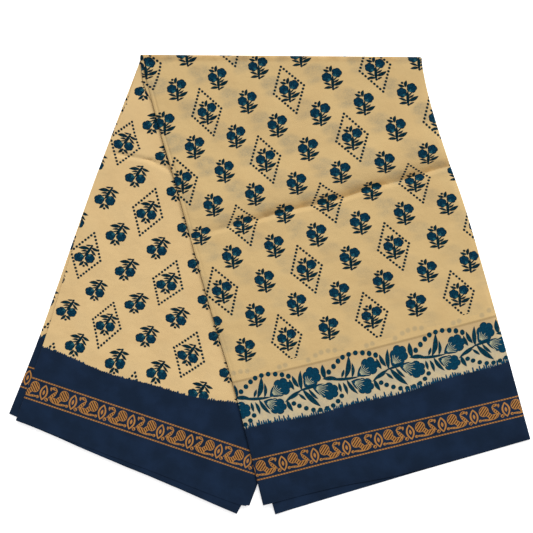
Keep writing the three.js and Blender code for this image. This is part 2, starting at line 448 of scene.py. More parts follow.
def print_coordinates(pattern, point, taken_up=0.0):
    """Place in the straight print. What a valley takes up lies that much further down the cloth."""
    basis = np.array([pattern["row"], pattern["column"]], float).T
    local = (pulled(pattern["pulls"], point) - np.array(pattern["origin"])) @ np.linalg.inv(basis).T
    local[..., 1] -= taken_up
    return local * MM


def past_border_line(row, point):
    """Distance above a line of the border, which may sag in its middle, and distance along it."""
    off, run = past_line(row["line"], point)
    share = np.clip(run / math.dist(*row["line"]), 0, 1)
    return off + row["sag"] * np.sin(math.pi * share), run


def border_coordinates(lines, point):
    """Distance along the selvedge and distance from it, bent to keep each line of the border in place."""
    offs = [past_border_line(row, point) for row in lines]
    levels = [row["from_selvedge"] for row in lines]
    across = levels[0] + offs[0][0]
    for (low, _), (high, _), start, end in zip(offs, offs[1:], levels, levels[1:]):
        across = np.where(low > 0, start + (end - start) * low / np.maximum(low - high, 1e-6), across)
    across = np.where(offs[-1][0] > 0, levels[-1] + offs[-1][0], across)
    return np.stack([offs[0][1], across], -1) * MM


def sheet_mesh(name, places, uv_maps):
    """A grid of faces through rows of places, in millimetres."""
    rows, columns = places.shape[:2]
    index = np.arange(rows * columns).reshape(rows, columns)
    quads = np.stack([index[:-1, :-1], index[:-1, 1:], index[1:, 1:], index[1:, :-1]], -1).reshape(-1, 4)
    mesh = bpy.data.meshes.new(name)
    mesh.from_pydata((places.reshape(-1, 3) * MM).tolist(), [], quads.tolist())
    corner = np.zeros(len(mesh.loops), np.int32)
    mesh.loops.foreach_get("vertex_index", corner)
    for map_name, values in uv_maps.items():
        layer = mesh.uv_layers.new(name=map_name)
        layer.data.foreach_set("uv", values.reshape(-1, 2)[corner].astype(np.float32).ravel())
    piece = bpy.data.objects.new(name, mesh)
    bpy.context.collection.objects.link(piece)
    return piece


def select_only(*pieces):
    bpy.ops.object.select_all(action="DESELECT")
    for piece in pieces:
        piece.select_set(True)
    bpy.context.view_layer.objects.active = pieces[0]


def give_thickness(piece, thickness):
    select_only(piece)
    wall = piece.modifiers.new("wall", "SOLIDIFY")
    wall.thickness = thickness * MM
    wall.offset = -1
    bpy.ops.object.modifier_apply(modifier=wall.name)
    bpy.ops.object.shade_smooth_by_angle(angle=math.radians(50))
    return piece


NOT_ASIDE = ((0, 0), (0, 0))


def cloth_piece(name, places, flat, pattern, thickness=CLOTH_THICKNESS, taken_up=0.0, aside=NOT_ASIDE):
    """Cloth through the places. Aside is how far its print and its border lie off those of the pattern."""
    print_place, border_place = (flat - np.array(shift) for shift in aside)
    maps = {
        "print": print_coordinates(pattern, print_place, taken_up),
        "border": border_coordinates(pattern["border"], border_place),
    }
    return give_thickness(sheet_mesh(name, places, maps), thickness)


def make_front_cloth():
    """The outermost ply: up the front leaf, over the crease and just under it."""
    columns = (
        tuck_columns(False, 0, BUNDLE_DEPTH, 20, 3)[::-1]
        + nose_columns(False, 0, BUNDLE_DEPTH, 7, 0.45)[::-1]
        + over_columns(0.006, 0.024, 9)
        + over_columns(0.03, 0.988, 129)
        + nose_columns(True, 0, LEAF_DEPTH, 9)
        + tuck_columns(True, 0, LEAF_DEPTH, 12, 2)
    )
    leaf, leaf_flat = leaf_points(FRONT_OUTER, columns, np.linspace(1, 0, 226), front_height)
    turn, turn_flat = turn_points(columns, np.linspace(0, math.pi, 17)[1:])
    places = np.concatenate([leaf, turn])
    flat = np.concatenate([leaf_flat, turn_flat])
    return cloth_piece("front_cloth", places, flat, FRONT_PRINT, taken_up=valley(flat)[1])


def make_front_lower_cloth():
    """The inner bundle of the front leaf: the ledge at its left edge, its nose and its underside."""
    columns = (
        ledge_columns(INNER_TOP, (LEAF_DEPTH - INNER_TOP) / 2, 45, 12)[::-1]
        + nose_columns(False, INNER_TOP, LEAF_DEPTH, 7)
        + over_columns(0.01, 0.955, 60, LEAF_DEPTH)
    )
    places, flat = leaf_points(FRONT_INNER, columns, np.linspace(0.004, 1, 180), front_height)
    return cloth_piece("front_lower_cloth", places, flat, FRONT_PRINT)


def make_under_cloth():
    """The outer bundle of the back leaf: its ledge at the left, its nose and the side on the table."""
    columns = (
        ledge_columns(BUNDLE_DEPTH, BUNDLE_DEPTH / 2, 40, 12)[::-1]
        + counted_up(nose_columns(False, 0, BUNDLE_DEPTH, 7), BUNDLE_DEPTH)
        + over_columns(0.01, 0.99, 60)
    )
    places, flat = leaf_points(BACK_OUTER, columns, np.linspace(0.001, 1, 160), back_height)
    aside = (UNDER_PRINT_SHIFT, UNDER_BORDER_SHIFT)
    return cloth_piece("under_cloth", places, flat, BACK_PRINT, aside=aside)


def make_back_cloth():
    """The top of the back leaf with its two folded edges."""
    bottom = BACK_HEIGHT - (CLOTH_THICKNESS + OFF_TABLE)
    columns = (
        tuck_columns(False, 0, BUNDLE_DEPTH, 20, 3)[::-1]
        + nose_columns(False, 0, BUNDLE_DEPTH, 7)[::-1]
        + over_columns(0.008, 0.986, 110)
        + nose_columns(True, 0, bottom, 11)
        + tuck_columns(True, 0, bottom, 30, 4)
    )
    columns = counted_up(columns, BACK_HEIGHT)
    places, flat = leaf_points(BACK_TOP, columns, np.linspace(1, 0.001, 210), back_height)
    return cloth_piece("back_cloth", places, flat, BACK_PRINT)


# Bundles of hidden plies, each between two depths, or between two heights in the back leaf.
LOWEST_PLY = 0.3
TOP_PLY = BACK_HEIGHT - 0.4
FRONT_BUNDLES = ((FRONT_OUTER, 0, BUNDLE_DEPTH), (FRONT_INNER, INNER_TOP, LEAF_DEPTH))
BACK_BUNDLES = ((BACK_OUTER, LOWEST_PLY, BUNDLE_DEPTH), (BACK_INNER, INNER_TOP, TOP_PLY))

# Only the last stretch of a hidden ply is modelled, in rows so far from its end.
FROM_PLY_END = np.array([45, 22.5, 9, 5, 0])[:, None]


def make_selvedge_plies(name, bundles, height, pattern, seed):
    """Ends of the hidden plies at one selvedge, each a thin strip with a slightly uneven edge."""
    chance = np.random.default_rng(seed)
    strips = []
    for edges, start, end in bundles:
        plan = LeafPlan(edges)
        for step in range(1, PLIES_PER_BUNDLE):
            depth = start + (end - start) * step / PLIES_PER_BUNDLE
            across = np.linspace(0.006, 0.991, 64)
            swing = chance.uniform(0.2, 0.9)
            wander = swing * np.sin(across * chance.uniform(4, 11) + chance.uniform(0, 6))
            down = 1 - (chance.uniform(0.2, 1.9) + wander + FROM_PLY_END) / LEAF_LENGTH
            across = across * np.ones_like(down)
            flat = plan.at(across, down)
            places = np.concatenate([flat, height(across, down, flat, depth)[..., None]], -1)
            strip_name = f"{name}_{len(strips)}"
            strips.append(cloth_piece(strip_name, places, flat, pattern, HIDDEN_PLY_THICKNESS))
    select_only(*strips)
    bpy.ops.object.join()
    joined = bpy.context.view_layer.objects.active
    joined.name = name
    return joined


# Materials are made of nodes. A value that comes from a node is linked, and any other value is set.
class Value:
    """What comes from a node. Numbers add up, multiply and so on as plain ones do."""

    def __init__(self, socket):
        self.socket = socket
        self.tree = socket.id_data

    def __add__(self, other):
        return calc("ADD", self, other)

    def __sub__(self, other):
        return calc("SUBTRACT", self, other)

    def __rsub__(self, other):
        return calc("SUBTRACT", other, self)

    def __mul__(self, other):
        return calc("MULTIPLY", self, other)

    def __truediv__(self, other):
        return calc("DIVIDE", self, other)

    def __mod__(self, other):
        return calc("FLOORED_MODULO", self, other)

    def __abs__(self):
        return calc("ABSOLUTE", self)


def fill(socket, value):
    if isinstance(value, Value):
        value.tree.links.new(value.socket, socket)
    elif socket.type == "RGBA" and len(value) == 3:
        socket.default_value = (*value, 1)
    else:
        socket.default_value = value


def add_node(tree, kind, values=None, **settings):
    made = tree.nodes.new("ShaderNode" + kind)
    for name, value in settings.items():
        setattr(made, name, value)
    for name, value in (values or {}).items():
        fill(made.inputs[name], value)
    return made


def result(tree, kind, values=None, output=0, **settings):
    return Value(add_node(tree, kind, values, **settings).outputs[output])


def calc(operation, *values):
    """One step of arithmetic, in the tree of the first value that comes from a node."""
    tree = next(value.tree for value in values if isinstance(value, Value))
    return result(tree, "Math", dict(enumerate(values)), operation=operation)


def vector_calc(operation, *values):
    return result(values[0].tree, "VectorMath", dict(enumerate(values)), operation=operation)


def split(vector):
    return [Value(part) for part in add_node(vector.tree, "SeparateXYZ", {"Vector": vector}).outputs]


def flat_place(x, y):
    return result(x.tree, "CombineXYZ", {"X": x, "Y": y})


def reach_of(vector):
    return result(vector.tree, "VectorMath", {0: vector}, "Value", operation="LENGTH")


def in_millimetres(vector):
    return result(vector.tree, "VectorMath", {0: vector, "Scale": 1 / MM}, operation="SCALE")


def noise(point, scale, detail):
    return result(point.tree, "TexNoise", {"Vector": point, "Scale": scale, "Detail": detail})


def blend_colour(tree, share, first, second, blend_type="MIX"):
    return result(tree, "Mix", {0: share, 6: first, 7: second}, 2, data_type="RGBA", blend_type=blend_type)


def choose_place(share, first, second):
    return result(share.tree, "Mix", {0: share, 4: first, 5: second}, 1, data_type="VECTOR")


def ramp(value, start, end, low=0.0, high=1.0):
    """A soft step from low to high as the value goes from start to end."""
    values = dict(enumerate((value, start, end, low, high)))
    return result(value.tree, "MapRange", values, interpolation_type="SMOOTHSTEP")


def colour(*levels):
    """A colour as it is named on a screen, as light."""
    shares = [level / 255 for level in levels]
    return tuple(s / 12.92 if s <= 0.04045 else ((s + 0.055) / 1.055) ** 2.4 for s in shares)


def named_values(sockets):
    return {socket.name: Value(socket) for socket in sockets}


def start_group(name, inputs, outputs):
    """A group whose inputs and outputs are named in two strings. Point and Place are places."""
    tree = bpy.data.node_groups.new(name, "ShaderNodeTree")
    for side, labels in (("INPUT", inputs), ("OUTPUT", outputs)):
        for label in labels.split():
            kind = "Vector" if label in ("Point", "Place") else "Float"
            tree.interface.new_socket(name=label, in_out=side, socket_type="NodeSocket" + kind)
    given = named_values(tree.nodes.new("NodeGroupInput").outputs)
    return tree, given, tree.nodes.new("NodeGroupOutput").inputs


def use_group(tree, name, **values):
    group = bpy.data.node_groups[name]
    return named_values(add_node(tree, "Group", values, node_tree=group).outputs)


# Shapes of the print. Each gives how far inside its outline a point lies, in millimetres.
def centred(point, shape):
    """The point as seen from a shape: its middle at zero, its length along X and its outline at about 1."""
    values = {
        "Vector": point,
        "Location": (shape["x"], shape["y"], 0),
        "Rotation": (0, 0, math.radians(shape.get("turn", 0))),
        "Scale": (shape["long"], shape["wide"], 1),
    }
    return result(point.tree, "Mapping", values, vector_type="TEXTURE")


def leaf_shape(point, shape):
    """Pointed at both ends, and bent where the row says so."""
    along, side, _ = split(centred(point, shape))
    squared = along * along
    if shape.get("bend"):
        side = calc("MULTIPLY_ADD", squared, shape["bend"], side)
    return (1.0 - (squared + abs(side))) * (shape["wide"] * 0.8)


def round_shape(point, shape):
    """Round or oval, with petals where the row says how many."""
    seen = centred(point, shape)
    radius = reach_of(seen)
    edge = 1.0
    if shape.get("petals"):
        x, y, _ = split(seen)
        angle = calc("ARCTAN2", y, x)
        wave = calc("COSINE", calc("MULTIPLY_ADD", angle, shape["petals"] / 2, shape["start"]))
        lobe = calc("POWER", abs(wave), 0.55)
        edge = calc("MULTIPLY_ADD", lobe, shape["scallop"], 1 - 0.75 * shape["scallop"])
    return (edge - radius) * min(shape["long"], shape["wide"])


def joined_shapes(distances):
    """One outline round all the shapes. Each is joined as soon as it is drawn."""
    total = None
    for distance in distances:
        total = distance if total is None else calc("MAXIMUM", total, distance)
    return total


SPRIG_BLOOMS = named_rows(
    "x y long wide petals start scallop",
    (8.3, 4.7, 6.8, 6.6, 5, 0.6, 0.17),
    (-6.3, 1.8, 6.8, 6.7, 6, 2.1, 0.15),
)
SPRIG_LEAVES = named_rows(
    "x y long wide turn bend",
    (-4.3, 10.6, 4.8, 2.0, 151, 0.3),
    (2.2, 12.0, 5.0, 2.2, 62, 0.2),
    (-1.2, -7.2, 11.0, 2.1, 73, 0.2),
    (3.6, -2.8, 4.6, 1.0, 32, 0.3),
    (3.7, -6.3, 5.4, 1.4, 12, -0.7),
    (5.9, -10.0, 8.0, 2.5, 12, -0.3),
    (1.2, -14.8, 4.3, 1.3, 14, 0.4),
    (-8.0, -7.1, 6.0, 1.7, -34, 0.3),
    (-8.6, -12.0, 6.2, 2.0, -8, 0.3),
)
SPRIG_DOTS = named_rows(
    "x y long wide",
    (-1.7, 14.3, 1.9, 1.7),
    (-3.2, -15.6, 1.8, 1.6),
)
SPRIG_THREADS = named_rows(
    "x y turn longest gap lines half",
    (2.6, -1.8, 52, 6.0, 0.36, 1.6, 0.36),
    (-3.0, -5.4, 118, 5.2, 0.36, 1.6, 0.36),
)


def bloom_threads(point, fan):
    """Fine pale lines that fan out from the throat of a bloom."""
    x, y, _ = split(centred(point, {**fan, "long": 1, "wide": 1}))
    angle = calc("ARCTAN2", y, x)
    reach = calc("SQRT", calc("MULTIPLY_ADD", x, x, y * y))
    line = calc("ROUND", angle / fan["gap"])
    from_line = calc("MULTIPLY_ADD", line, -fan["gap"], angle)
    side = abs(from_line * reach)
    wave = calc("COSINE", line * 2.6)
    longest = calc("MULTIPLY_ADD", wave, fan["longest"] * 0.12, fan["longest"])
    near = ramp(reach - longest, 1.0, -1.0)
    inside = ramp(reach, 1.5, 3.0) * near
    fan_shape = calc("LESS_THAN", abs(line), fan["lines"])
    stroke = ramp(side, fan["half"] * 1.6, fan["half"] * 0.4)
    return stroke * (inside * fan_shape)


def sprig_group():
    """A flowering sprig about 37 mm tall, drawn round the point zero."""
    tree, given, wanted = start_group("sprig", "Point", "Ink Bloom Threads")
    point = given["Point"]
    blooms = joined_shapes(round_shape(point, row) for row in SPRIG_BLOOMS)
    leaves = joined_shapes(leaf_shape(point, row) for row in SPRIG_LEAVES)
    dots = joined_shapes(round_shape(point, row) for row in SPRIG_DOTS)
    fill(wanted["Ink"], joined_shapes((leaves, dots)))
    fill(wanted["Bloom"], blooms)
    fill(wanted["Threads"], joined_shapes(bloom_threads(point, row) for row in SPRIG_THREADS))


RHOMBUS = {"half_wide": 21.1, "half_tall": 33.2, "gaps": 8, "dot": 1.8}


def rhombus_group():
    """A rhombus of dots round the point zero."""
    tree, given, wanted = start_group("dotted rhombus", "Point", "Ink")
    parts = split(given["Point"])
    wide, tall = RHOMBUS["half_wide"], RHOMBUS["half_tall"]
    side = math.hypot(wide, tall)
    x = abs(parts[0])
    y = abs(parts[1])
    along = calc("MULTIPLY_ADD", y, tall / side, wide * wide / side)
    along = calc("MULTIPLY_ADD", x, -wide / side, along)
    off = calc("MULTIPLY_ADD", y, wide / side, -wide * tall / side)
    off = calc("MULTIPLY_ADD", x, tall / side, off)
    gap = side / RHOMBUS["gaps"]
    past = along - calc("ROUND", along / gap) * gap
    fill(wanted["Ink"], RHOMBUS["dot"] - reach_of(flat_place(past, off)))


# How far apart sprigs stand in a row, and how far apart the rows are.
SPRIG_STEP = 59.7
SPRIG_ROW = 41.8


def scatter_group():
    """Half-drop layout: the place as seen from the nearest sprig, and whether that one has a rhombus."""
    tree, given, wanted = start_group("half-drop layout", "Point", "Place Framed")
    cell = (SPRIG_STEP, 2 * SPRIG_ROW, 1)
    tilings = []
    for shift in (0.0, 0.5):
        scaled = vector_calc("DIVIDE", given["Point"], cell)
        moved = vector_calc("SUBTRACT", scaled, (shift, shift, 0))
        centre = vector_calc("FLOOR", vector_calc("ADD", moved, (0.5, 0.5, 0)))
        local = vector_calc("SUBTRACT", moved, centre)
        tilings.append((centre, local))
    (centre, local), (_, other_local) = tilings
    x, y, _ = split(local)
    other = calc("GREATER_THAN", abs(x) + abs(y), 0.5)
    column, row, _ = split(centre)
    odd = (column + row) % 2.0
    fill(wanted["Place"], vector_calc("MULTIPLY", choose_place(other, local, other_local), cell))
    fill(wanted["Framed"], calc("LESS_THAN", odd, 0.5) * (1.0 - other))


# The creeper border, one repeat, with X along the border and Y away from the selvedge.
CREEPER_STEP = 118.9
CREEPER_START = 7.0
CREEPER_STRETCH = 1.02
CREEPER_BLOOMS = named_rows(
    "x y size turn throat petals start",
    (52.6, 152.0, 12.3, 24, 16.4, 6, 1.0),
    (41.4, 128.6, 11.7, -33, 16.0, 6, 2.2),
    (94.4, 156.8, 12.3, 42, 13.6, 6, 0.2),
    (112.6, 133.0, 12.3, -28, 19.6, 6, 0.7),
)
CREEPER_STALKS = named_rows(
    "x y long wide turn bend",
    (15.0, 144.5, 24.0, 2.1, -10, -1.2),
    (64.5, 138.2, 14.5, 2.4, 24, 0.5),
    (88.5, 143.9, 17.5, 2.0, 3, 0.4),
    (117.5, 149.8, 10.2, 3.0, -12, 0.2),
)
CREEPER_LEAVES = named_rows(
    "x y long wide turn bend",
    (25.4, 156.8, 14.6, 3.5, 66, -0.6),
    (16.7, 151.8, 5.8, 2.0, 60, 0),
    (30.8, 152.4, 9.8, 2.3, 76, -0.7),
    (65.6, 152.6, 7.8, 2.6, 102, 0.3),
    (71.2, 155.2, 8.8, 2.8, 108, 0.3),
    (78.4, 155.0, 12.8, 3.0, 80, 0.4),
    (110.6, 159.4, 9.0, 3.4, 88, 0.2),
    (8.7, 134.4, 7.0, 2.2, 92, 0),
    (16.0, 131.6, 9.0, 2.4, 98, -0.4),
    (23.5, 131.0, 12.6, 2.7, 115, 0.6),
    (56.7, 125.6, 9.0, 2.9, 105, 0.3),
    (76.2, 133.6, 7.0, 2.0, 127, 0),
    (86.8, 129.0, 17.2, 3.6, 123, 0.35),
    (90.4, 134.0, 10.0, 2.1, 120, 0.4),
    (63.8, 136.4, 9.4, 2.0, 14, 0),
)
CREEPER_UPPER_DOTS = [
    (-1.1, 157.9), (6.8, 162.9), (14.2, 167.6), (21.3, 170.9), (30.1, 172.4),
    (39.2, 172.2), (48.4, 170.1), (56.8, 167.4), (64.6, 163.9),
]
CREEPER_LOWER_DOTS = [
    (63.2, 127.5), (69.6, 122.7), (77.7, 117.6), (86.4, 113.3), (95.3, 111.1),
    (104.3, 111.1), (113.2, 112.8), (2.0, 117.0), (8.4, 122.8),
]
CREEPER_DOT = 3.25
CREEPER_FAINT_DOTS = [
    (95.1, 178.0), (105.9, 182.0), (114.0, 184.0), (4.6, 184.0), (13.4, 182.5),
    (55.9, 178.0), (64.0, 178.6),
]


def copies_in_step(shape, reach):
    """The shape, and its copies in the next repeats where they reach into this one."""
    for shift in (-CREEPER_STEP, 0, CREEPER_STEP):
        if -reach < shape["x"] + shift < CREEPER_STEP + reach:
            yield {**shape, "x": shape["x"] + shift}


def creeper_bloom(point, bloom):
    """A scalloped bloom with a narrow throat, and the fine pale lines that fan out from it."""
    turn = math.radians(bloom["turn"])
    size, throat = bloom["size"], bloom["throat"]
    crown = {**bloom, "long": size, "wide": size * 0.92, "scallop": 0.22}
    neck = {
        "x": bloom["x"] - math.cos(turn) * throat * 0.42,
        "y": bloom["y"] - math.sin(turn) * throat * 0.42,
        "long": throat * 0.8,
        "wide": size * 0.66,
        "turn": bloom["turn"],
    }
    shape = joined_shapes((round_shape(point, crown), leaf_shape(point, neck)))
    fan = {
        "x": bloom["x"] - math.cos(turn) * throat,
        "y": bloom["y"] - math.sin(turn) * throat,
        "turn": bloom["turn"],
        "longest": throat * 0.82,
        "gap": 0.21,
        "lines": 3.5,
        "half": 0.28,
    }
    return shape, bloom_threads(point, fan)


def creeper_ink(point):
    """Stalks, leaves and dots of one repeat, one after another."""
    for row in CREEPER_STALKS + CREEPER_LEAVES:
        reach = abs(row["long"] * math.cos(math.radians(row["turn"]))) + row["wide"]
        for copy in copies_in_step(row, reach):
            yield leaf_shape(point, copy)
    for x, y in CREEPER_UPPER_DOTS + CREEPER_LOWER_DOTS:
        dot = {"x": x, "y": y, "long": CREEPER_DOT, "wide": CREEPER_DOT}
        for copy in copies_in_step(dot, CREEPER_DOT):
            yield round_shape(point, copy)


def creeper_repeat(point):
    """The place in one repeat of the creeper."""
    run, from_selvedge, _ = split(point)
    return flat_place((run / CREEPER_STRETCH - CREEPER_START) % CREEPER_STEP, from_selvedge)


def faint_dots_group():
    """Dots of the ply below that show through just above the creeper."""
    tree, given, wanted = start_group("faint dots", "Point", "Shade")
    point = creeper_repeat(given["Point"])
    rows = ({"x": x, "y": y, "long": CREEPER_DOT, "wide": CREEPER_DOT} for x, y in CREEPER_FAINT_DOTS)
    dots = joined_shapes(round_shape(point, row) for row in rows)
    fill(wanted["Shade"], ramp(dots, -1.4, 1.4, 0.0, 0.6))


def creeper_group():
    """A flowering creeper between two rows of large dots."""
    tree, given, wanted = start_group("creeper", "Point", "Ink Bloom Threads")
    point = creeper_repeat(given["Point"])
    fill(wanted["Ink"], joined_shapes(creeper_ink(point)))
    shape = threads = None
    for row in CREEPER_BLOOMS:
        for copy in copies_in_step(row, row["size"] + row["throat"] * 0.4):
            bloom, lines = creeper_bloom(point, copy)
            shape = bloom if shape is None else calc("MAXIMUM", shape, bloom)
            threads = lines if threads is None else calc("MAXIMUM", threads, lines)
    fill(wanted["Bloom"], shape)
    fill(wanted["Threads"], threads)


# The woven zari band, one repeat, from a pointed lozenge to the next, with Y from its middle.
ZARI_STEP = 44.3
ZARI_MIDDLE = 50.1
ZARI_LINES = {"off": 14.2, "half": 0.85}
ZARI_LOZENGE = {"x": 0.0, "y": 0.0, "long": 10.8, "wide": 5.8, "turn": 90, "frame": 0.9}
ZARI_SEED = {"x": 0.0, "y": 0.0, "long": 3.6, "wide": 1.6, "turn": 90}
ZARI_BIRD_ROUND = named_rows(
    "x y long wide turn",
    (14.4, 4.0, 7.4, 6.6, 60),
    (26.0, -6.4, 7.2, 3.6, 10),
    (7.0, -7.8, 2.1, 1.9, 0),
)
ZARI_BIRD_LEAVES = named_rows(
    "x y long wide turn bend",
    (20.0, -2.4, 6.6, 3.2, -48, 0),
    (30.2, 0.4, 8.2, 2.2, 128, 0.5),
    (30.6, 9.4, 5.6, 1.9, 8, 1.1),
    (35.6, 7.6, 2.8, 1.2, 74, 0),
    (14.6, -8.5, 8.0, 1.3, -10, 0.3),
    (37.8, -8.0, 2.7, 2.5, 90, 0),
)


def zari_group():
    """Two lines, and between them birds and pointed lozenges by turns."""
    tree, given, wanted = start_group("zari band", "Point Start", "Gold Hatch")
    parts = split(given["Point"])
    past = parts[0] - given["Start"]
    along = (past + ZARI_STEP / 2) % ZARI_STEP - ZARI_STEP / 2
    wrapped = past % ZARI_STEP
    off = parts[1] - ZARI_MIDDLE
    by_lozenge = flat_place(along, off)
    by_bird = flat_place(wrapped, off)
    frame = ZARI_LOZENGE["frame"]
    outline = frame - abs(leaf_shape(by_lozenge, ZARI_LOZENGE) - frame)
    lozenge = joined_shapes((outline, leaf_shape(by_lozenge, ZARI_SEED)))
    rounds = joined_shapes(round_shape(by_bird, row) for row in ZARI_BIRD_ROUND)
    slim = joined_shapes(leaf_shape(by_bird, row) for row in ZARI_BIRD_LEAVES)
    line = ZARI_LINES["half"] - abs(abs(off) - ZARI_LINES["off"])
    fill(wanted["Gold"], joined_shapes((lozenge, rounds, slim, line)))
    plumage = joined_shapes((rounds, slim))
    slant = (off - wrapped) * 1.45
    stripes = ramp(calc("SINE", slant), -0.4, 0.4)
    inner = ramp(plumage, 0.2, 1.2)
    twist = calc("SINE", (parts[0] + off) * 1.6)
    on_line = ramp(line, 0.0, 0.4)
    line_twist = on_line * ramp(twist, -0.2, 0.8, 0.0, 0.85)
    fill(wanted["Hatch"], calc("MAXIMUM", stripes * inner, line_twist))


def dyed_edge_group():
    """The feathered edge where the navy dye of the border ends."""
    tree, given, wanted = start_group("dyed edge", "Point Height Teeth", "Navy Tips")
    parts = split(given["Point"])
    reaches = []
    for pitch, seed, share in ((3.1, 0.0, 1.0), (2.2, 17.0, 0.6)):
        cell = calc("FLOOR", parts[0] / pitch)
        middle = (cell + 0.5) * pitch
        chance = result(tree, "TexWhiteNoise", {"W": cell + seed}, noise_dimensions="1D")
        tall = calc("POWER", chance, 0.8) * given["Teeth"] * share
        narrow = 1.0 - abs(parts[0] - middle) / (pitch * 0.5)
        reaches.append(calc("MINIMUM", narrow * 2.2, 1.0) * tall)
    tooth = calc("MINIMUM", joined_shapes(reaches), given["Teeth"])
    solid = given["Height"] + calc("SINE", parts[0] * 0.05) * 1.3
    fill(wanted["Tips"], ramp(parts[1] - solid, 0.0, 2.0))
    fill(wanted["Navy"], ramp(solid + tooth - parts[1], -0.5, 0.7))


WEAVE_PITCH = 0.42


def weave_group():
    """Plain weave of fine cotton: a height for the bump, and a tone that differs from thread to thread."""
    tree, given, wanted = start_group("cotton weave", "Point", "Height Tone")
    parts = split(given["Point"])
    turns = [part * math.pi / WEAVE_PITCH for part in parts[:2]]
    warp = abs(calc("SINE", turns[0]))
    weft = abs(calc("SINE", turns[1]))
    over = calc("COSINE", turns[0]) * calc("COSINE", turns[1])
    lift = calc("GREATER_THAN", over, 0.0)
    fill(wanted["Height"], result(tree, "Mix", {0: lift, 2: warp, 3: weft}))
    tones = []
    for scale in ((0.9, 0.03, 1.0), (0.03, 0.9, 1.0)):
        tones.append(noise(vector_calc("MULTIPLY", given["Point"], scale), 1.0, 1.0))
    fill(wanted["Tone"], calc("ADD", *tones) * 0.5)


# Painted shade along the rounded top fold: what it keeps of red, green and blue, and where along y it comes
# in.
CREASE_PAINTED_SHADE = (0.66, 0.6, 0.54)
CREASE_PAINTED_SHADE_RISE = (298.5 * MM, 306.5 * MM)


def crease_painted_shade_group():
    """Painted shade along the rounded fold at the top of the strip, in patches."""
    tree, _, wanted = start_group("crease painted shade", "", "PaintedShade")
    place = result(tree, "TexCoord", output="Object")
    patchy_painted_shade = noise(place, 60.0, 2.0)
    near = ramp(split(place)[1], *CREASE_PAINTED_SHADE_RISE)
    fill(wanted["PaintedShade"], near * ramp(patchy_painted_shade, 0.3, 0.7, 0.55, 1.0))


# Painted shade just above the crosswise valley: what it keeps of red, green and blue.
VALLEY_PAINTED_SHADE = (0.84, 0.72, 0.56)


def valley_painted_shade_group():
    """Painted shade on the cloth just above the crosswise valley, in patches."""
    tree, _, wanted = start_group("valley painted shade", "", "PaintedShade")
    point = in_millimetres(result(tree, "TexCoord", output="Object"))
    (x, y), (far_x, far_y) = VALLEY_LINE
    slope = math.degrees(math.atan2(far_y - y, far_x - x))
    line = {"x": x, "y": y, "long": 1.0, "wide": 1.0, "turn": slope}
    run, off, _ = split(centred(point, line))
    for height, stretch, start in VALLEY_SWAY:
        off = off - calc("SINE", run / stretch + start) * height
    near = ramp(off, 22.0, 0.5) * ramp(off, -0.8, 0.6)
    patchy_painted_shade = noise(point, 0.05, 3.0)
    along = ramp(run, -10.0, 90.0) * ramp(patchy_painted_shade, 0.35, 0.6, 0.5, 1.0)
    fill(wanted["PaintedShade"], near * near * along)


# The ply below lies a little aside, and its sprigs show only as two soft blots each.
GHOST_SHIFT = (-22.0, 12.9, 0)
GHOST_STRETCH = (0.985, 1.01, 1.0)
GHOST_SHAPES = named_rows(
    "x y long wide turn",
    (0.0, 2.5, 13.5, 9.0, -8),
    (0.0, -9.5, 11.5, 5.5, 6),
)


def ghost_group():
    """The print of the ply below, showing through faint and blurred."""
    tree, given, wanted = start_group("print showing through", "Point", "Shade")
    below = vector_calc("MULTIPLY", vector_calc("SUBTRACT", given["Point"], GHOST_SHIFT), GHOST_STRETCH)
    place = use_group(tree, "half-drop layout", Point=below)["Place"]
    soft = joined_shapes(round_shape(place, row) for row in GHOST_SHAPES)
    cloud = noise(given["Point"], 0.06, 2.0)
    grain = noise(given["Point"], 0.5, 1.0)
    shade = ramp(soft, -4.0, 4.0) * ramp(cloud, 0.3, 0.62, 0.45, 1.0)
    fill(wanted["Shade"], shade * ramp(grain, 0.32, 0.68, 0.6, 1.15))


# Where the birds of each zari band start, and which way and how closely they follow one another.
FRONT_ZARI = (38.3, 1)
BACK_ZARI = (-23.7, -1.067)

# Where the navy dye ends, and how long its strokes are there.
FRONT_DYE = (106.5, 9.0)
BACK_DYE = (106.3, 2.8)

# The line over the creeper, and how near to the selvedge sprigs and rhombi of dots are printed.
CREEPER_TOP = 172.0
SPRIGS_FROM = 190.0
RHOMBI_FROM = 184.5

# Half the width in which ink goes from none to full, and an offset that takes a shape out.
INK_EDGE = 0.28
FAR_OUTSIDE = 100.0
COTTON_ROUGHNESS = 0.86
ZARI_ROUGHNESS = 0.44
ZARI_METALLIC = 0.35
FRONT_GROUNDS = (colour(193, 165, 116), colour(183, 152, 104))
BACK_GROUNDS = (colour(201, 172, 124), colour(190, 158, 110))
CREEPER_GROUNDS = (colour(185, 168, 134), colour(172, 160, 133))
CREEPER_TAN = colour(182, 154, 110)
CREEPER_LINE = colour(118, 96, 66)
GHOST = colour(156, 141, 110)
SPRIG_INKS = {
    "leaf": colour(1, 23, 33),
    "leaf thin": colour(4, 46, 56),
    "bloom": colour(2, 31, 48),
    "bloom thin": colour(6, 54, 74),
    "thread": colour(40, 96, 104),
}
CREEPER_INKS = {
    "leaf": colour(2, 38, 52),
    "leaf thin": colour(5, 56, 72),
    "bloom": colour(2, 45, 66),
    "bloom thin": colour(5, 58, 80),
    "thread": colour(180, 176, 140),
}
NAVY = colour(18, 31, 49)
NAVY_WORN = colour(22, 37, 59)
NAVY_TIP = colour(8, 56, 80)
ZARI = colour(170, 119, 62)
ZARI_DARK = colour(60, 40, 38)


def printed_ground(tree, point, grounds, ghost_strength):
    """Beige cotton, a little cloudy, with what shows through of the ply below."""
    ghost = use_group(tree, "print showing through", Point=point)["Shade"]
    shade = blend_colour(tree, ghost * ghost_strength, grounds[0], GHOST)
    cloud = noise(point, 0.022, 3.0)
    return blend_colour(tree, ramp(cloud, 0.35, 0.7, 0.0, 0.3), shade, grounds[1])


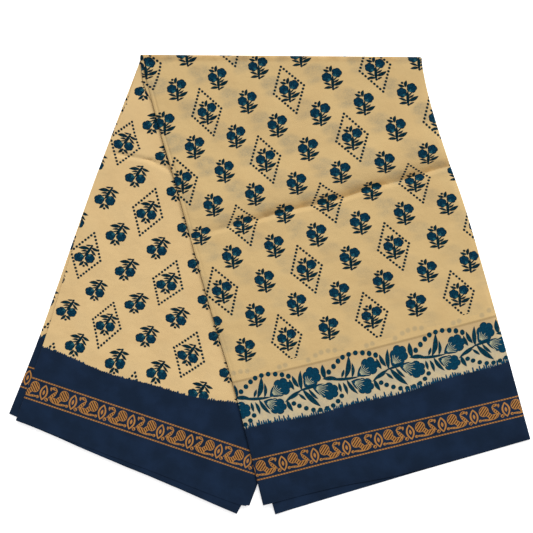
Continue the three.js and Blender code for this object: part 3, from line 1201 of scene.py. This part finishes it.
def with_ink(tree, point, shade, leaf, bloom, pale, inks):
    """Dark ink for leaves and dots, and a brighter one for blooms, uneven as block printing is."""
    wear = noise(point, 0.45, 2.0)
    leaf_tone = blend_colour(tree, ramp(wear, 0.4, 0.7), inks["leaf"], inks["leaf thin"])
    bloom_tone = blend_colour(tree, ramp(wear, 0.35, 0.7), inks["bloom"], inks["bloom thin"])
    bloom_tone = blend_colour(tree, ramp(bloom, 0.0, 1.6), inks["leaf"], bloom_tone)
    bloom_tone = blend_colour(tree, pale, bloom_tone, inks["thread"])
    shade = blend_colour(tree, ramp(leaf, -INK_EDGE, INK_EDGE), shade, leaf_tone)
    return blend_colour(tree, ramp(bloom, -INK_EDGE, INK_EDGE), shade, bloom_tone)


def with_sprigs(tree, point, shade, no_sprigs=0.0, no_dots=0.0):
    """Sprigs, some in a rhombus of dots. The last two values leave them out near the creeper."""
    layout = use_group(tree, "half-drop layout", Point=point)
    sprig = use_group(tree, "sprig", Point=layout["Place"])
    rhombus = use_group(tree, "dotted rhombus", Point=layout["Place"])["Ink"]
    dots = layout["Framed"] - 1.0 - no_dots
    dots = calc("MULTIPLY_ADD", dots, FAR_OUTSIDE, rhombus)
    leaf = calc("MAXIMUM", calc("MULTIPLY_ADD", no_sprigs, -FAR_OUTSIDE, sprig["Ink"]), dots)
    bloom = calc("MULTIPLY_ADD", no_sprigs, -FAR_OUTSIDE, sprig["Bloom"])
    return with_ink(tree, point, shade, leaf, bloom, sprig["Threads"], SPRIG_INKS)


def with_creeper(tree, border, shade):
    """The creeper border: greyer ground under a dark line, and the creeper on it."""
    from_selvedge = split(border)[1]
    cloud = noise(border, 0.09, 2.0)
    ground = blend_colour(tree, ramp(cloud, 0.38, 0.62), *CREEPER_GROUNDS)
    ground = blend_colour(tree, ramp(from_selvedge, 140, 170, 0.0, 0.9), ground, CREEPER_TAN)
    vine = use_group(tree, "creeper", Point=border)
    shade = blend_colour(tree, use_group(tree, "faint dots", Point=border)["Shade"], shade, GHOST)
    shade = blend_colour(tree, ramp(from_selvedge, CREEPER_TOP + 0.2, CREEPER_TOP - 1.6), shade, ground)
    off_line = abs(from_selvedge - CREEPER_TOP)
    shade = blend_colour(tree, ramp(off_line, 2.4, 0.3, 0.0, 0.5), shade, CREEPER_LINE)
    return with_ink(tree, border, shade, vine["Ink"], vine["Bloom"], vine["Threads"], CREEPER_INKS)


def navy_cloth(tree, border):
    """Navy dye, a little uneven."""
    cloud = noise(border, 0.03, 3.0)
    return blend_colour(tree, ramp(cloud, 0.35, 0.7), NAVY, NAVY_WORN)


def with_dyed_edge(tree, border, shade, height, teeth):
    """The navy of the border, which begins in feathered strokes."""
    dyed = use_group(tree, "dyed edge", Point=border, Height=height, Teeth=teeth)
    navy = blend_colour(tree, dyed["Tips"], navy_cloth(tree, border), NAVY_TIP)
    return blend_colour(tree, dyed["Navy"], shade, navy)


def finish_cotton(tree, point, shade, gold=None):
    """Weave, sheen and roughness of fine printed cotton, painted shade along the top fold, and zari thread
    where gold says.
    """
    weave = use_group(tree, "cotton weave", Point=point)
    tone = blend_colour(tree, weave["Tone"], colour(243, 243, 243), (1, 1, 1))
    shade = blend_colour(tree, 1.0, shade, tone, "MULTIPLY")
    # Painted shade: the cloth is darkened along the rounded top fold.
    crease = use_group(tree, "crease painted shade")["PaintedShade"]
    shade = blend_colour(tree, crease, shade, CREASE_PAINTED_SHADE, "MULTIPLY")
    rumple = noise(point, 0.045, 3.0)
    soft = result(tree, "Bump", {"Height": rumple, "Strength": 1.0, "Distance": 0.0012})
    threads = {"Height": weave["Height"], "Strength": 0.35, "Distance": 0.0001, "Normal": soft}
    finish = {
        "Base Color": shade,
        "Roughness": COTTON_ROUGHNESS,
        "Normal": result(tree, "Bump", threads),
        "Sheen Weight": 0.03,
        "Sheen Roughness": 0.5,
        "Specular IOR Level": 0.04,
    }
    if gold is not None:
        smoother = ZARI_ROUGHNESS - COTTON_ROUGHNESS
        finish["Roughness"] = calc("MULTIPLY_ADD", gold, smoother, COTTON_ROUGHNESS)
        finish["Metallic"] = gold * ZARI_METALLIC
    add_node(tree, "OutputMaterial", {"Surface": result(tree, "BsdfPrincipled", finish)})


def start_cotton(name):
    made = bpy.data.materials.new(name)
    made.use_nodes = True
    made.node_tree.nodes.clear()
    tree = made.node_tree
    point, border = (in_millimetres(result(tree, "UVMap", uv_map=layer)) for layer in ("print", "border"))
    return made, tree, point, border


def front_body_cotton():
    made, tree, point, border = start_cotton("front cotton")
    from_selvedge = split(border)[1]
    showing = ramp(from_selvedge, 250, 430, 0.4, 0.85)
    ground = printed_ground(tree, point, FRONT_GROUNDS, showing)
    ground = blend_colour(tree, use_group(tree, "faint dots", Point=border)["Shade"], ground, GHOST)
    no_sprigs = ramp(from_selvedge, SPRIGS_FROM + 0.4, SPRIGS_FROM - 0.4)
    no_dots = ramp(from_selvedge, RHOMBI_FROM + 0.3, RHOMBI_FROM - 0.3)
    shade = with_sprigs(tree, point, ground, no_sprigs, no_dots)
    # Painted shade: the cloth just above the crosswise valley is darkened and browned.
    patchy_painted_shade = use_group(tree, "valley painted shade")["PaintedShade"]
    shade = blend_colour(tree, patchy_painted_shade, shade, VALLEY_PAINTED_SHADE, "MULTIPLY")
    finish_cotton(tree, point, shade)
    return made


def creeper_cotton():
    made, tree, point, border = start_cotton("creeper cotton")
    shade = blend_colour(tree, 0.15, *FRONT_GROUNDS)
    shade = with_creeper(tree, border, shade)
    shade = with_dyed_edge(tree, border, shade, *FRONT_DYE)
    finish_cotton(tree, point, shade)
    return made


def back_body_cotton():
    made, tree, point, border = start_cotton("back cotton")
    shade = printed_ground(tree, point, BACK_GROUNDS, 0.12)
    shade = with_sprigs(tree, point, shade)
    shade = with_dyed_edge(tree, border, shade, *BACK_DYE)
    finish_cotton(tree, point, shade)
    return made


def selvedge_cotton(name, zari_start, way):
    """The navy by the selvedge with its woven band, whose birds face along the border or back along it."""
    made, tree, point, border = start_cotton(name)
    turned = vector_calc("MULTIPLY", border, (way, 1, 1))
    zari = use_group(tree, "zari band", Point=turned, Start=zari_start)
    gold = ramp(zari["Gold"], -0.35, 0.35)
    gold_tone = blend_colour(tree, zari["Hatch"], ZARI, ZARI_DARK)
    shade = blend_colour(tree, gold, navy_cloth(tree, border), gold_tone)
    finish_cotton(tree, point, shade, gold)
    return made


# How far from the selvedge each finish reaches. The last change of finish lies in plain navy.
CREEPER_REACH = 179
NAVY_REACH = 96


def dress(piece, finishes, node):
    """The first finish is the body's. The others go to the faces near the selvedge, the widest first."""
    body, *borders = finishes
    layer = piece.data.uv_layers["border"].data
    values = np.zeros(len(layer) * 2, np.float32)
    layer.foreach_get("uv", values)
    lowest = np.minimum.reduceat(values[1::2], [face.loop_start for face in piece.data.polygons])
    finish = np.zeros(len(lowest), np.int32)
    piece.data.materials.clear()
    piece.data.materials.append(body)
    for number, (material, reach) in enumerate(borders, 1):
        piece.data.materials.append(material)
        finish[lowest < reach * MM] = number
    piece.data.polygons.foreach_set("material_index", finish)
    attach(piece, "root")
    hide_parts(node)


def make_table():
    bpy.ops.object.select_all(action="DESELECT")
    bpy.ops.mesh.primitive_plane_add(size=12, location=(0, 0, -0.0002))
    table = bpy.context.object
    table.name = "table"
    made = bpy.data.materials.new("table white")
    made.use_nodes = True
    inputs = made.node_tree.nodes["Principled BSDF"].inputs
    inputs["Base Color"].default_value = (0.9, 0.9, 0.9, 1)
    inputs["Roughness"].default_value = 0.9
    inputs["Emission Color"].default_value = (1, 1, 1, 1)
    inputs["Emission Strength"].default_value = 0.55
    table.data.materials.append(made)


def make_camera():
    lens = bpy.data.cameras.new("camera")
    lens.lens = 149.5
    lens.sensor_width = 36
    camera = bpy.data.objects.new("camera", lens)
    bpy.context.scene.collection.objects.link(camera)
    camera.location = (-4.39 * MM, 24.6 * MM, 2.998)
    lens.clip_end = 50
    bpy.context.scene.camera = camera


def make_lights():
    world = bpy.data.worlds.new("studio")
    bpy.context.scene.world = world
    world.use_nodes = True
    world.node_tree.nodes["Background"].inputs["Color"].default_value = (1, 1, 1, 1)
    world.node_tree.nodes["Background"].inputs["Strength"].default_value = 0.58
    lamp = bpy.data.lights.new("window", "SUN")
    lamp.energy = 3.3
    lamp.angle = math.radians(38)
    holder = bpy.data.objects.new("window", lamp)
    bpy.context.scene.collection.objects.link(holder)
    holder.rotation_euler = (math.radians(-45), math.radians(18), 0)


def build():
    make_camera()
    make_table()
    make_lights()
    for make_group in (
        sprig_group,
        rhombus_group,
        scatter_group,
        creeper_group,
        faint_dots_group,
        zari_group,
        dyed_edge_group,
        weave_group,
        crease_painted_shade_group,
        valley_painted_shade_group,
        ghost_group,
    ):
        make_group()
    front_body = front_body_cotton()
    creeper = creeper_cotton()
    front_selvedge = selvedge_cotton("front selvedge", *FRONT_ZARI)
    front_finishes = (front_body, (creeper, CREEPER_REACH), (front_selvedge, NAVY_REACH))
    back_body = back_body_cotton()
    back_selvedge = selvedge_cotton("back selvedge", *BACK_ZARI)
    back_finishes = (back_body, (back_selvedge, NAVY_REACH))
    front = make_front_cloth()
    front_lower = make_front_lower_cloth()
    under = make_under_cloth()
    back = make_back_cloth()
    front_plies = make_selvedge_plies("front_selvedge_plies", FRONT_BUNDLES, front_height, FRONT_PRINT, 5)
    back_plies = make_selvedge_plies("back_selvedge_plies", BACK_BUNDLES, back_height, BACK_PRINT, 6)
    dress(front, front_finishes, "front_face")
    dress(front_lower, front_finishes, "hidden_plies")
    dress(under, back_finishes, "under_face")
    dress(back, back_finishes, "back_face")
    dress(front_plies, front_finishes, "hidden_plies")
    dress(back_plies, back_finishes, "hidden_plies")
    for piece, flat_size, rests, more in (
        (front, (0.43, 0.66), ["back_cloth"], [front_plies]),
        (front_lower, (0.43, 0.62), ["back_cloth"], []),
        (under, (0.43, 0.62), ["table"], []),
        (back, (0.45, 0.62), ["under_cloth"], [back_plies]),
    ):
        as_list(rests)
        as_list(more)


build()
bpy.context.scene.view_settings.view_transform = "Standard"
